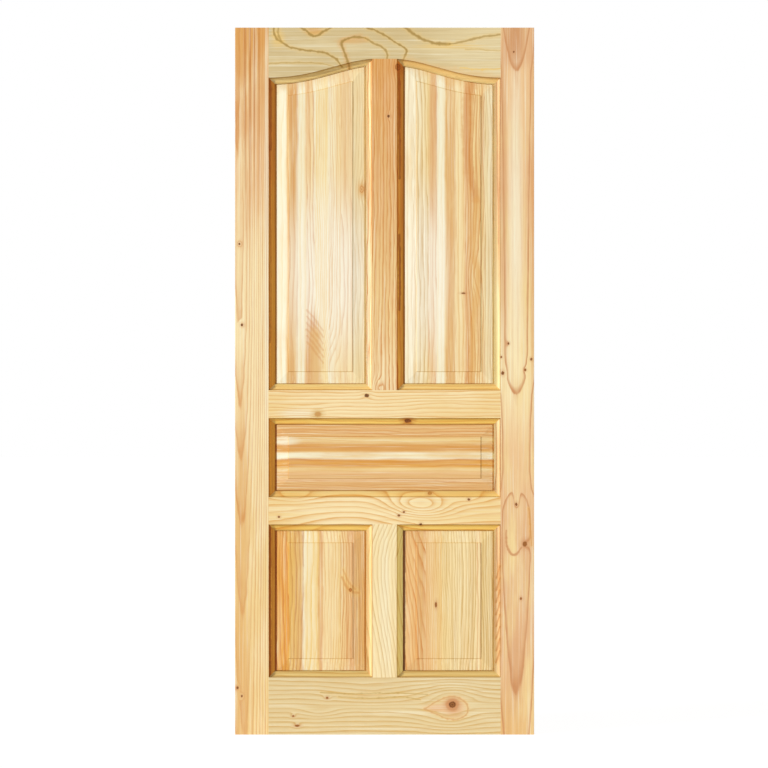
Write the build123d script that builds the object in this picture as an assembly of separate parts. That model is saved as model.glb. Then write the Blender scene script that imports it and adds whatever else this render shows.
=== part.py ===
from collections import namedtuple
from math import atan2, cos, degrees, sin, sqrt, tan
import os

from build123d import *

# A panelled exterior door leaf: stiles, rails and muntins grooved for five raised panels.
# X runs across the leaf from its hinge edge, Y through its thickness and Z up from its foot.

# The leaf
door_width = 838.0
door_height = 1981.0
door_thickness = 44.0
arris = 0.6  # chamfer along the outer edges of the stiles

# Flat faces of the members, as seen between the mouldings
stile_width = 94.0
upper_muntin_width = 69.0
lower_muntin_width = 68.0
bottom_rail_height = 160.0
lower_opening_height = 429.0
middle_rail_height = 76.0
middle_opening_height = 222.0
lock_rail_height = 78.0
top_rail_height = 140.0  # beside the stiles, at the foot of the arch

# The arch under the top rail: a crown arc, a straight and a foot arc on each side
arch_rise = 54.0
crown_radius = 420.0
arch_straight = 78.0

# The moulding worked on every edge that faces a panel
quirk_depth = 3.0
quirk_width = 1.2
ovolo_width = 13.3
ovolo_drop = 7.5
ovolo_bulge = 3.4
fillet_step = 1.0
fillet_width = 3.0
root_depth = 2.0  # how far a moulding or a tenon is taken back into its own board

# The groove behind the moulding, and the panel that slides in it
groove_width = 14.0
groove_depth = 11.0
panel_thickness = 29.0
field_step = 1.5
field_step_run = 1.5
slope_width = 32.0
slope_shoulder = 3.2  # how far the slope's low edge stands up from the tongue
side_gap = 5.0  # tongue that shows beside the moulding, at a panel's upright edges
end_gap = 2.0  # and at its upper and lower edges
tongue_length = 10.0
tongue_clearance = 0.3

# The joints between the members
tenon_thickness = 14.0
tenon_length = 60.0
stub_length = 28.0
tenon_shoulder = 8.0
outer_shoulder = 40.0  # keeps a tenon away from the top and the foot of the leaf
tenon_clearance = 0.15
mortice_end_gap = 2.0

# Lines and levels that follow from these sizes
centre_x = door_width / 2
right_face = door_width - stile_width
half_run = centre_x - stile_width
lower_opening_foot = bottom_rail_height
middle_rail_foot = lower_opening_foot + lower_opening_height
middle_opening_foot = middle_rail_foot + middle_rail_height
lock_rail_foot = middle_opening_foot + middle_opening_height
upper_opening_foot = lock_rail_foot + lock_rail_height
arch_foot_z = door_height - top_rail_height
arch_crown_z = arch_foot_z + arch_rise
moulding_width = quirk_width + ovolo_width + fillet_width
ovolo_top = door_thickness / 2 - quirk_depth
ovolo_foot = ovolo_top - ovolo_drop
fillet_level = ovolo_foot - fillet_step

# The two arcs of the arch touch its straight at one angle
radius_sum = (half_run**2 + arch_rise**2 - arch_straight**2) / (2 * arch_rise)
foot_radius = radius_sum - crown_radius
arch_angle = atan2(half_run, radius_sum - arch_rise) - atan2(arch_straight, radius_sum)
crown_centre_z = arch_crown_z - crown_radius
foot_centre_z = arch_foot_z + foot_radius

# An opening is bounded by the face lines of the members round it
Opening = namedtuple("Opening", "left right bottom top arched")
upper_right = Opening(
    centre_x + upper_muntin_width / 2, right_face, upper_opening_foot, arch_foot_z, True
)
middle = Opening(stile_width, right_face, middle_opening_foot, lock_rail_foot, False)
lower_right = Opening(
    centre_x + lower_muntin_width / 2, right_face, lower_opening_foot, middle_rail_foot, False
)
BOTTOM, RIGHT, TOP, LEFT = range(4)


def mirrored(shape):
    # The same piece on the other side of the leaf's centre line
    return mirror(shape, about=Plane.YZ.offset(centre_x))


def block(left, right, bottom, top, thickness):
    # A board seen from the front by its four edges, centred in the leaf's thickness
    middle_point = Pos((left + right) / 2, 0, (bottom + top) / 2)
    return middle_point * Box(right - left, thickness, top - bottom)


def crown_point(angle, inset):
    radius = crown_radius - inset
    return (centre_x + radius * sin(angle), crown_centre_z + radius * cos(angle))


def foot_point(angle, inset):
    radius = foot_radius + inset
    return (right_face - radius * sin(angle), foot_centre_z - radius * cos(angle))


def arch_height(x, inset):
    # Level of the arch's line, moved down into the opening by an inset
    crown_end, crown_end_z = crown_point(arch_angle, inset)
    foot_end = foot_point(arch_angle, inset)[0]
    if x <= crown_end:
        return crown_centre_z + sqrt((crown_radius - inset) ** 2 - (x - centre_x) ** 2)
    if x >= foot_end:
        return foot_centre_z - sqrt((foot_radius + inset) ** 2 - (right_face - x) ** 2)
    return crown_end_z - (x - crown_end) * tan(arch_angle)


def under_arch(inset, bottom):
    # Everything below the right half of the arch's line, down to a level
    crown = ThreePointArc(*[crown_point(arch_angle * share, inset) for share in (0, 0.5, 1)])
    foot = ThreePointArc(*[foot_point(arch_angle * share, inset) for share in (1, 0.5, 0)])
    straight = Line(crown @ 1, foot @ 0)
    rest = Polyline(foot @ 1, (right_face, bottom), (centre_x, bottom), crown @ 0)
    return make_face([crown, straight, foot, rest])


def corners(opening, inset):
    # Corners of an opening's outline from the lower left, against the clock
    left = opening.left + inset
    right = opening.right - inset
    bottom = opening.bottom + inset
    tops = [opening.top - inset] * 2
    if opening.arched:
        tops = [arch_height(right, inset), arch_height(left, inset)]
    return [(left, bottom), (right, bottom), (right, tops[0]), (left, tops[1])]


def outline(opening, inset):
    # The face inside an opening's line, moved in by an inset
    points = corners(opening, inset)
    if not opening.arched:
        return make_face(Polyline(*points, close=True))
    left, bottom = points[0]
    right = points[1][0]
    column = [(left, bottom), (right, bottom), (right, arch_crown_z), (left, arch_crown_z)]
    return make_face(Polyline(*column, close=True)) & under_arch(inset, bottom)


def section_plane(start, inward, travel):
    # A section's own x runs into the opening and its y through the thickness
    return Plane(
        origin=(start[0], 0, start[1]),
        x_dir=(inward[0], 0, inward[1]),
        z_dir=(travel[0], 0, travel[1]),
    )


def straight_run(section, start, end):
    # A section drawn along a straight line that has the opening on its left
    length = sqrt((end[0] - start[0]) ** 2 + (end[1] - start[1]) ** 2)
    travel = ((end[0] - start[0]) / length, (end[1] - start[1]) / length)
    plane = section_plane(start, (-travel[1], travel[0]), travel)
    return extrude(plane * section, length)


def arch_run(section):
    # The same section drawn along the right half of the arch
    turn = degrees(arch_angle)
    crown_plane = section_plane(crown_point(0, 0), (0, -1), (1, 0))
    crown_axis = Axis((centre_x, 0, crown_centre_z), (0, 1, 0))
    crown = revolve(crown_plane * section, crown_axis, turn)
    foot_plane = section_plane(foot_point(0, 0), (0, -1), (-1, 0))
    foot_axis = Axis((right_face, 0, foot_centre_z), (0, 1, 0))
    foot = revolve(foot_plane * section, foot_axis, turn)
    straight = straight_run(section, foot_point(arch_angle, 0), crown_point(arch_angle, 0))
    return crown + straight + foot


def side_run(section, opening, side):
    if opening.arched and side == TOP:
        return arch_run(section)
    points = corners(opening, 0)
    return straight_run(section, points[side], points[(side + 1) % 4])


def mitre_plane(opening, corner, keep_point):
    # The upright plane through a corner's mitre, facing the piece that is kept
    x, z = corners(opening, 0)[corner]
    sight_x, sight_z = corners(opening, moulding_width)[corner]
    normal = Vector(z - sight_z, 0, sight_x - x)
    towards = Vector(keep_point[0] - x, 0, keep_point[1] - z)
    if normal.dot(towards) < 0:
        normal = -normal
    return Plane(origin=(x, 0, z), z_dir=normal)


def moulding_section():
    # Quirk, ovolo and fillet in front of the groove, and the same behind it
    groove_bottom = moulding_width - groove_depth
    ovolo_end = quirk_width + ovolo_width
    edge = Polyline(
        (-root_depth, ovolo_top),
        (-root_depth, 0),
        (groove_bottom, 0),
        (groove_bottom, groove_width / 2),
        (moulding_width, groove_width / 2),
        (moulding_width, fillet_level),
        (ovolo_end, fillet_level),
        (ovolo_end, ovolo_foot),
    )
    ovolo = SagittaArc((ovolo_end, ovolo_foot), (quirk_width, ovolo_top), ovolo_bulge)
    quirk = Line(ovolo @ 1, edge @ 0)
    half = make_face([edge, ovolo, quirk])
    return half + mirror(half, about=Plane.XZ)


def moulding(opening, side):
    # One side's moulding, mitred into its neighbours at both ends
    points = corners(opening, 0)
    ends = (side, (side + 1) % 4)
    run = side_run(moulding_section(), opening, side)
    for corner, other in (ends, ends[::-1]):
        run = split(run, bisect_by=mitre_plane(opening, corner, points[other]), keep=Keep.TOP)
    return run


def tenon_spans():
    # Lower and upper edge of the tenons on each rail's ends
    return {
        "top_rail": (arch_foot_z + tenon_shoulder, door_height - outer_shoulder),
        "lock_rail": (lock_rail_foot + tenon_shoulder, upper_opening_foot - tenon_shoulder),
        "middle_rail": (middle_rail_foot + tenon_shoulder, middle_opening_foot - tenon_shoulder),
        "bottom_rail": (outer_shoulder, bottom_rail_height - tenon_shoulder),
    }


def rail_tenons(name):
    # Rooted a little inside the rail, so that each tenon is one piece with it
    bottom, top = tenon_spans()[name]
    root = right_face - root_depth
    tenon = block(root, right_face + tenon_length, bottom, top, tenon_thickness)
    return tenon + mirrored(tenon)


def stile_mortice(name):
    bottom, top = tenon_spans()[name]
    return block(
        right_face - tenon_length,
        right_face + tenon_length + mortice_end_gap,
        bottom - tenon_clearance,
        top + tenon_clearance,
        tenon_thickness + 2 * tenon_clearance,
    )


def stub_tenons(muntin_width, bottom, top):
    # One tongue through the muntin, standing out at both of its ends
    half_width = muntin_width / 2 - tenon_shoulder
    return block(
        centre_x - half_width,
        centre_x + half_width,
        bottom - stub_length,
        top + stub_length,
        tenon_thickness,
    )


def stub_mortices(muntin_width, bottom, top):
    half_width = muntin_width / 2 - tenon_shoulder + tenon_clearance
    reach = stub_length + mortice_end_gap
    return block(
        centre_x - half_width,
        centre_x + half_width,
        bottom - reach,
        top + reach,
        tenon_thickness + 2 * tenon_clearance,
    )


def stile():
    # The right stile; the left one is its mirror image
    board = block(right_face, door_width, 0, door_height, door_thickness)
    outer_edges = board.edges().filter_by(Axis.Z).filter_by_position(Axis.X, centre_x, door_width)
    outer_edges = outer_edges.sort_by(Axis.X)[-2:]
    stile_board = chamfer(outer_edges, arris)
    for opening in (upper_right, middle, lower_right):
        stile_board += moulding(opening, RIGHT)
    for name in tenon_spans():
        stile_board -= stile_mortice(name)
    return stile_board


def muntin_seat_z():
    # Where the upper muntin's shoulder meets the top rail
    return arch_height(upper_right.left, 0)


def top_rail():
    face = make_face(
        Polyline(
            (centre_x, arch_foot_z),
            (right_face, arch_foot_z),
            (right_face, door_height),
            (centre_x, door_height),
            close=True,
        )
    )
    half = extrude(Plane.XZ * (face - under_arch(0, upper_opening_foot)), door_thickness / 2, both=True)
    half += block(centre_x, upper_right.left, muntin_seat_z(), arch_crown_z, door_thickness)
    half += moulding(upper_right, TOP)
    rail = half + mirrored(half) + rail_tenons("top_rail")
    return rail - stub_mortices(upper_muntin_width, upper_opening_foot, muntin_seat_z())


def lock_rail():
    rail = block(stile_width, right_face, lock_rail_foot, upper_opening_foot, door_thickness)
    upper_moulding = moulding(upper_right, BOTTOM)
    rail += upper_moulding + mirrored(upper_moulding) + moulding(middle, TOP)
    rail += rail_tenons("lock_rail")
    return rail - stub_mortices(upper_muntin_width, upper_opening_foot, muntin_seat_z())


def middle_rail():
    rail = block(stile_width, right_face, middle_rail_foot, middle_opening_foot, door_thickness)
    lower_moulding = moulding(lower_right, TOP)
    rail += lower_moulding + mirrored(lower_moulding) + moulding(middle, BOTTOM)
    rail += rail_tenons("middle_rail")
    return rail - stub_mortices(lower_muntin_width, lower_opening_foot, middle_rail_foot)


def bottom_rail():
    rail = block(stile_width, right_face, 0, bottom_rail_height, door_thickness)
    upper_moulding = moulding(lower_right, BOTTOM)
    rail += upper_moulding + mirrored(upper_moulding) + rail_tenons("bottom_rail")
    return rail - stub_mortices(lower_muntin_width, lower_opening_foot, middle_rail_foot)


def muntin(opening, width, top):
    # An upright between two panels, with its mouldings and stub tenons
    side_moulding = moulding(opening, LEFT)
    upright = block(centre_x - width / 2, centre_x + width / 2, opening.bottom, top, door_thickness)
    upright += side_moulding + mirrored(side_moulding)
    return upright + stub_tenons(width, opening.bottom, top)


def panel_waste(gap):
    # What is planed off both faces along one edge: over the tongue, the slope and the step
    tongue_level = groove_width / 2 - tongue_clearance
    field_level = panel_thickness / 2
    outside = panel_thickness
    slope_start = moulding_width + gap
    slope_end = slope_start + slope_width
    waste = make_face(
        Polyline(
            (0, outside),
            (0, tongue_level),
            (slope_start, tongue_level),
            (slope_start, tongue_level + slope_shoulder),
            (slope_end, field_level - field_step),
            (slope_end + field_step_run, field_level),
            (slope_end + field_step_run, outside),
            close=True,
        )
    )
    return waste + mirror(waste, about=Plane.XZ)


def panel(opening):
    # A board raised on both faces, with a loose tongue in the grooves round it
    tongue_edge = moulding_width - tongue_length
    board = extrude(Plane.XZ * outline(opening, tongue_edge), panel_thickness / 2, both=True)
    for side in (BOTTOM, RIGHT, TOP, LEFT):
        gap = end_gap if side in (BOTTOM, TOP) else side_gap
        board -= side_run(panel_waste(gap), opening, side)
    return board


def build_parts():
    right_stile = stile()
    upper_panel = panel(upper_right)
    lower_panel = panel(lower_right)
    return {
        "left_stile": mirrored(right_stile),
        "right_stile": right_stile,
        "top_rail": top_rail(),
        "lock_rail": lock_rail(),
        "middle_rail": middle_rail(),
        "bottom_rail": bottom_rail(),
        "upper_muntin": muntin(upper_right, upper_muntin_width, muntin_seat_z()),
        "lower_muntin": muntin(lower_right, lower_muntin_width, middle_rail_foot),
        "upper_left_panel": mirrored(upper_panel),
        "upper_right_panel": upper_panel,
        "middle_panel": panel(middle),
        "lower_left_panel": mirrored(lower_panel),
        "lower_right_panel": lower_panel,
    }


os.makedirs("parts", exist_ok=True)
for node, shape in build_parts().items():
    export_step(shape, f"parts/{node}.step")
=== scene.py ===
import math

import bmesh
import bpy
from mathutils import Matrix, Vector

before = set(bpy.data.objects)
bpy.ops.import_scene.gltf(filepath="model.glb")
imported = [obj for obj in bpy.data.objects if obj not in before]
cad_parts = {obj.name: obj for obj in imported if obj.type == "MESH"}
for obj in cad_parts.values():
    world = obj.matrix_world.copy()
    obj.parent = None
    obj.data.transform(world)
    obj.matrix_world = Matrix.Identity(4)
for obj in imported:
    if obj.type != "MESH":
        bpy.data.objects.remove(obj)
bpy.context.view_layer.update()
print("frame loaded,", len(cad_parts), "boards and panels")

# places in the wood are in mm of the leaf: x to the right, y back from its middle, z up
leafLook = {"size": (838.0, 1981.0), "halfThickness": 22.0}

# the leaf's pine, from sapwood to latewood
woodTones = {
    "white": "fbf8e8",
    "milk": "f6f3da",
    "cream": "f7e6b6",
    "straw": "f0d79a",
    "greenish": "e3d2a4",
    "moss": "d3bf8f",
    "yellow": "ecc56c",
    "tan": "e4bd80",
    "honey": "dea960",
    "sand": "c99e52",
    "gold": "e3a84c",
    "peach": "ebc593",
    "pink": "e2b688",
    "rose": "cb9160",
    "orange": "cd843c",
    "amber": "bc732e",
    "olive": "a58440",
    "brown": "99602c",
    "rust": "8c3c0e",
    "umber": "6a3b1c",
    "bark": "3a2213",
}


def paint(tone):
    parts = [int(woodTones[tone][i : i + 2], 16) / 255 for i in (0, 2, 4)]
    linear = [part / 12.92 if part < 0.04045 else ((part + 0.055) / 1.055) ** 2.4 for part in parts]
    return (*linear, 1.0)


def grey(value):
    return (value, value, value, 1.0)


# each item with what it doesn't say itself taken from the plain one
def filled(items, plain):
    return [{**plain, **item} for item in items]


# node helpers: a term is a socket or a plain number


def plug(tree, socket, term):
    if isinstance(term, bpy.types.NodeSocket):
        tree.links.new(term, socket)
    else:
        socket.default_value = term


def calc(tree, operation, *terms):
    node = tree.nodes.new("ShaderNodeMath")
    node.operation = operation
    for socket, term in zip(node.inputs, terms):
        plug(tree, socket, term)
    return node.outputs[0]


def place(tree, vector, location, scale):
    node = tree.nodes.new("ShaderNodeMapping")
    plug(tree, node.inputs["Vector"], vector)
    node.inputs["Location"].default_value = location
    node.inputs["Scale"].default_value = scale
    return node.outputs[0]


def noise(tree, vector, scale, detail=2.0, rough=0.5):
    node = tree.nodes.new("ShaderNodeTexNoise")
    plug(tree, node.inputs["Vector"], vector)
    node.inputs["Scale"].default_value = scale
    node.inputs["Detail"].default_value = detail
    node.inputs["Roughness"].default_value = rough
    return node.outputs[0]


def centred(tree, value):
    return calc(tree, "SUBTRACT", value, 0.5)


def ramp(tree, factor, stops, interpolation="LINEAR"):
    node = tree.nodes.new("ShaderNodeValToRGB")
    node.color_ramp.interpolation = interpolation
    elements = node.color_ramp.elements
    while len(elements) > 1:
        elements.remove(elements[-1])
    for index, (position, colour) in enumerate(stops):
        stop = elements[0] if index == 0 else elements.new(position)
        stop.position = position
        stop.color = colour if len(colour) == 4 else (*colour, 1.0)
    plug(tree, node.inputs["Fac"], factor)
    return node.outputs["Color"]


def mix(tree, factor, first, second, blend="MIX"):
    node = tree.nodes.new("ShaderNodeMix")
    node.data_type = "RGBA"
    node.blend_type = blend
    plug(tree, node.inputs["Factor"], factor)
    plug(tree, node.inputs[6], first)
    plug(tree, node.inputs[7], second)
    return node.outputs[2]


def rise(tree, value, low, high):
    node = tree.nodes.new("ShaderNodeMapRange")
    node.interpolation_type = "SMOOTHSTEP"
    plug(tree, node.inputs["Value"], value)
    node.inputs["From Min"].default_value = low
    node.inputs["From Max"].default_value = high
    return node.outputs[0]


def curve(tree, value, points):
    node = tree.nodes.new("ShaderNodeFloatCurve")
    line = node.mapping.curves[0]
    line.points[0].location = points[0]
    line.points[1].location = points[-1]
    for point in points[1:-1]:
        line.points.new(*point)
    for point in line.points:
        point.handle_type = "VECTOR"
    node.mapping.use_clip = False
    node.mapping.update()
    plug(tree, node.inputs["Value"], value)
    return node.outputs[0]


def vectors(tree, operation, *terms):
    node = tree.nodes.new("ShaderNodeVectorMath")
    node.operation = operation
    for socket, term in zip(node.inputs, terms):
        plug(tree, socket, term)
    return node.outputs["Value" if operation in ("LENGTH", "DOT_PRODUCT") else "Vector"]


def away(tree, vector):
    return vectors(tree, "LENGTH", vector)


def combine(tree, x, y, z):
    node = tree.nodes.new("ShaderNodeCombineXYZ")
    for socket, term in zip(node.inputs, (x, y, z)):
        plug(tree, socket, term)
    return node.outputs[0]


def split(tree, vector):
    node = tree.nodes.new("ShaderNodeSeparateXYZ")
    plug(tree, node.inputs[0], vector)
    return node.outputs


def newMaterial(name):
    material = bpy.data.materials.new(name)
    material.use_nodes = True
    return material, material.node_tree


def leafMillimetres(tree):
    metres = tree.nodes.new("ShaderNodeTexCoord").outputs["Object"]
    return place(tree, metres, (0, 0, 0), (1000, 1000, 1000))


# across, depth behind the front face, along, and all three, far apart for each piece
def grainSpace(tree, leaf, grain, seed):
    x, y, z = split(tree, leaf)
    across, along = (x, z) if grain == "up" else (z, x)
    depth = calc(tree, "ADD", y, leafLook["halfThickness"])
    return across, depth, along, combine(tree, across, depth, calc(tree, "ADD", along, seed * 3000.0))


# distance from a spot of the face, in units of its size along and across the grain
def around(tree, leaf, spot, grain, size, turn=0.0):
    wide, high = (size[1], size[0]) if grain == "up" else size
    node = tree.nodes.new("ShaderNodeMapping")
    node.vector_type = "TEXTURE"
    plug(tree, node.inputs["Vector"], leaf)
    node.inputs["Location"].default_value = (spot[0], 0.0, spot[1])
    node.inputs["Rotation"].default_value = (0.0, turn, 0.0)
    node.inputs["Scale"].default_value = (wide, 100000.0, high)  # the same at every depth
    return away(tree, node.outputs[0])


# adds a smooth hump of this strength round a spot
def hump(tree, distance, strength, total):
    square = calc(tree, "MULTIPLY", distance, distance)
    bell = calc(tree, "EXPONENT", calc(tree, "MULTIPLY", square, -1.0))
    return calc(tree, "MULTIPLY_ADD", bell, strength, total)


# a spot that draws the grain lines out of their way, by rings or mm
def swirled(tree, leaf, lines, swirls, grain, strength):
    for swirl in swirls:
        distance = around(tree, leaf, swirl["at"], grain, swirl["size"], swirl.get("turn", 0.0))
        lines = hump(tree, distance, swirl[strength], lines)
    return lines


def tint(tree, colour, amount, shade):
    second = shade if isinstance(shade, bpy.types.NodeSocket) else (*shade, 1.0)
    return mix(tree, amount, colour, second, "MULTIPLY")


# painted shade and painted light in the mouldings, the panels' rims and the steps round their fields, over a
# deeper tone on the mouldings; a band is from depth, to depth (both from the leaf's middle) and shade
toneAndPaintedShade = {
    "boardSides": (0.0, 21.2),
    "mouldings": [
        # painted shade in the quirk beside the face
        (17.4, 21.2, (0.8, 0.66, 0.5)),
        # painted highlight on the moulding's steep lower part
        (11.0, 14.6, (1.15, 1.15, 1.15)),
        # painted shade at the moulding's foot, beside the panel
        (0.0, 10.0, (0.9, 0.76, 0.6)),
    ],
    # the panel's rim: painted shadow on its left side, painted light on the rest
    "panelRim": (0.0, 8.0),
    "leftRim": (0.6, 0.29, 0.06),
    "litRim": (1.12, 1.06, 0.74),
    # painted shade on the step round the raised field
    "panelStep": (13.0, 14.4, (0.84, 0.72, 0.5)),
    # the painted shade and tone stay off the leaf's own outer edges
    "edgeFade": (2.0, 5.0),  # the leaf's own outer edges stay bare
}


# one painted shade before a place and another after it, for a shaded and a lit side
def twoShades(tree, value, middle, before, after):
    side = rise(tree, value, middle - 1.0, middle + 1.0)
    return mix(tree, side, (*before, 1.0), (*after, 1.0))


# paints the bands of depth: painted shade, painted light and the mouldings' deeper tone, kept off the leaf's
# own outer edges
def paintToneAndShade(tree, leaf, colour, bands):
    x, y, z = split(tree, leaf)
    height = calc(tree, "ABSOLUTE", y)
    wide, tall = leafLook["size"]
    inside = calc(tree, "MINIMUM", x, calc(tree, "SUBTRACT", wide, x))
    inside = calc(tree, "MINIMUM", inside, calc(tree, "MINIMUM", z, calc(tree, "SUBTRACT", tall, z)))
    inside = rise(tree, inside, *toneAndPaintedShade["edgeFade"])
    for low, high, shade in bands:
        above = rise(tree, height, low - 0.2, low + 0.2)
        band = calc(tree, "MULTIPLY", above, rise(tree, height, high + 0.2, high - 0.2))
        colour = tint(tree, colour, calc(tree, "MULTIPLY", band, inside), shade)
    return colour


# clear coat, with the grain just felt through it
coatLook = {
    "roughness": 0.42,
    "fibreRoughness": 0.16,
    "specular": 0.35,
    "bump": 0.35,
    "bumpDepth": 0.00025,
    "ringBump": 0.6,
}


def woodShader(tree, colour, fibre, rings):
    shader = tree.nodes["Principled BSDF"]
    plug(tree, shader.inputs["Base Color"], colour)
    rough = calc(tree, "MULTIPLY_ADD", fibre, coatLook["fibreRoughness"], coatLook["roughness"])
    plug(tree, shader.inputs["Roughness"], rough)
    shader.inputs["Specular IOR Level"].default_value = coatLook["specular"]
    bump = tree.nodes.new("ShaderNodeBump")
    bump.inputs["Strength"].default_value = coatLook["bump"]
    bump.inputs["Distance"].default_value = coatLook["bumpDepth"]
    plug(tree, bump.inputs["Height"], calc(tree, "MULTIPLY_ADD", rings, coatLook["ringBump"], fibre))
    plug(tree, shader.inputs["Normal"], bump.outputs[0])


plainKnot = {
    "stretch": 1.25,  # its length along the grain, in sizes
    "turn": 0.0,
    "tone": "brown",
    "core": "umber",
    "halo": 0.6,
    "haloTone": "rose",
    "bulge": 2.6,  # how far round it the rings bend, in sizes
    "rings": 0.8,  # by how many rings
}
knotShape = {
    "wobble": 0.9,
    "steadySize": 4.5,  # larger knots wobble less
    "halo": [(0.2, grey(1)), (0.42, grey(0.4)), (0.8, grey(0))],  # over four sizes
    "edge": (1.2, 0.8),
}


# warm halo, bark ring and dark heart of each knot
def knotMarks(tree, leaf, colour, knots, grain):
    for knot in knots:
        size = knot["size"]
        tone, core = paint(knot["tone"]), paint(knot["core"])
        distance = around(tree, leaf, knot["at"], grain, (size * knot["stretch"], size), knot["turn"])
        wobble = noise(tree, leaf, 1.6 / max(size, 3.0))
        uneven = knotShape["wobble"] * min(1.0, knotShape["steadySize"] / size)
        distance = calc(tree, "ADD", distance, calc(tree, "MULTIPLY_ADD", wobble, uneven, -0.5 * uneven))
        halo = ramp(tree, calc(tree, "MULTIPLY", distance, 0.25), knotShape["halo"])
        colour = mix(tree, calc(tree, "MULTIPLY", halo, knot["halo"]), colour, paint(knot["haloTone"]))
        heartStops = [(0.0, core), (0.25, tone), (0.4, core), (0.5, tone)]
        heart = ramp(tree, calc(tree, "MULTIPLY", distance, 0.5), heartStops)
        colour = mix(tree, rise(tree, distance, *knotShape["edge"]), colour, heart)
    return colour


# soft patches of another tone, sized along and across the grain
def patchMarks(tree, leaf, colour, patches, grain):
    for patch in patches:
        distance = around(tree, leaf, patch["at"], grain, patch["size"])
        amount = calc(tree, "MULTIPLY", rise(tree, distance, 1.3, 0.3), patch["amount"])
        colour = mix(tree, amount, colour, paint(patch["tone"]))
    return colour


# bold growth lines and stains along drawn lines, and a few painted shadow lines
plainStroke = {"width": 2.0, "tone": "olive", "amount": 0.85, "halo": 0.3, "haloTone": "yellow"}
strokeShape = {
    "shakeScale": 0.045,
    "wearScale": 0.05,
    "wear": (-1.6, 1.8),  # narrower or wider by the noise
    "haloReach": 4.5,  # in widths
    "coreReach": (1.6, 0.2),
    "join": 6.0,
}


# a line with its corners cut off
def rounded(points):
    cut = []
    for (startX, startZ), (endX, endZ) in zip(points, points[1:]):
        for share in (0.25, 0.75):
            cut.append((startX + (endX - startX) * share, startZ + (endZ - startZ) * share))
    return [points[0], *(cut[1:-1] if len(points) > 2 else []), points[-1]]


# distance from a line drawn through points of the face
def lineDistance(tree, spot, points):
    nearest = None
    points = rounded(points)
    for (startX, startZ), (endX, endZ) in zip(points, points[1:]):
        runX, runZ = endX - startX, endZ - startZ
        square = runX**2 + runZ**2
        rest = vectors(tree, "SUBTRACT", spot, (startX, 0.0, startZ))
        share = vectors(tree, "DOT_PRODUCT", rest, (runX / square, 0.0, runZ / square))
        share = calc(tree, "MINIMUM", calc(tree, "MAXIMUM", share, 0.0), 1.0)
        shares = combine(tree, share, 0.0, share)
        distance = away(tree, vectors(tree, "MULTIPLY_ADD", shares, (-runX, 0.0, -runZ), rest))
        if nearest is None:
            nearest = distance
        else:
            nearest = calc(tree, "SMOOTH_MIN", nearest, distance, strokeShape["join"])
    return nearest


# the drawn lines are shaken sideways and worn, so that they look grown
def strokeMarks(tree, leaf, colour, strokes, sideways):
    if not strokes:
        return colour
    shake = tree.nodes.new("ShaderNodeTexNoise")
    plug(tree, shake.inputs["Vector"], leaf)
    shake.inputs["Scale"].default_value = strokeShape["shakeScale"]
    shake.inputs["Detail"].default_value = 3.0
    back = (-0.5 * sideways, 0.0, -0.5 * sideways)
    flat = vectors(tree, "MULTIPLY_ADD", leaf, (1.0, 0.0, 1.0), back)
    spot = vectors(tree, "MULTIPLY_ADD", shake.outputs["Color"], (sideways, 0.0, sideways), flat)
    worn = noise(tree, leaf, strokeShape["wearScale"], 3.0, 0.6)
    for stroke in strokes:
        distance = calc(tree, "DIVIDE", lineDistance(tree, spot, stroke["line"]), stroke["width"])
        distance = calc(tree, "MULTIPLY", distance, calc(tree, "MULTIPLY_ADD", worn, *strokeShape["wear"]))
        halo = calc(tree, "MULTIPLY", rise(tree, distance, strokeShape["haloReach"], 0.0), stroke["halo"])
        colour = mix(tree, halo, colour, paint(stroke["haloTone"]))
        core = calc(tree, "MULTIPLY", rise(tree, distance, *strokeShape["coreReach"]), stroke["amount"])
        colour = mix(tree, core, colour, paint(stroke["tone"]))
    return colour


# how dark a growth ring is from its inner to its outer side
ringProfiles = {
    "close": [(0.0, 0.7), (0.06, 0.12), (0.2, 0.0), (0.5, 0.12), (0.8, 0.5), (0.95, 1.0), (1.0, 0.8)],
    "soft": [(0.0, 0.35), (0.05, 0.0), (0.55, 0.0), (0.8, 0.12), (0.92, 0.8), (0.97, 1.0), (1.0, 0.6)],
}

# noises drawn out along the grain: kept is how much of their scale they keep along it
grainNoises = {
    "wear": {"kept": 0.1, "scale": 0.1, "detail": 3.0, "rough": 0.6, "reach": 1.5, "least": 0.3},
    "streak": {"kept": 0.012, "scale": 0.16, "detail": 4.0, "rough": 0.7, "rise": (0.42, 0.72)},
    "pale": {
        "shift": 9.0, "kept": 0.014, "scale": 0.2, "detail": 3.0, "rough": 0.7,
        "rise": (0.5, 0.72), "amount": 0.45, "tone": "milk",
    },
    "fibre": {
        "kept": 0.02, "scale": 0.9, "detail": 3.0, "rough": 0.6,
        "rise": (0.48, 0.75), "amount": 0.25, "tone": "tan",
    },
}


def grainNoise(tree, cell, look):
    shift = look.get("shift", 0.0)
    drawnOut = place(tree, cell, (shift, shift, shift), (1.0, 1.0, look["kept"]))
    return noise(tree, drawnOut, look["scale"], look["detail"], look["rough"])


# latewood swells up to a sharp line and drops; some rings are fainter, and each wears away in places
def ringShade(tree, phase, cell, uneven, profile):
    late = ramp(tree, calc(tree, "FRACT", phase), [(at, grey(dark)) for at, dark in ringProfiles[profile]])
    chance = tree.nodes.new("ShaderNodeTexWhiteNoise")
    chance.noise_dimensions = "1D"
    plug(tree, chance.inputs["W"], calc(tree, "FLOOR", phase))
    fainter = calc(tree, "MULTIPLY_ADD", chance.outputs["Value"], uneven, 1.0 - uneven)
    late = calc(tree, "MULTIPLY", late, fainter)
    wear = grainNoises["wear"]
    worn = calc(tree, "MULTIPLY_ADD", grainNoise(tree, cell, wear), wear["reach"], wear["least"])
    return calc(tree, "MULTIPLY", late, worn)


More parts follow.
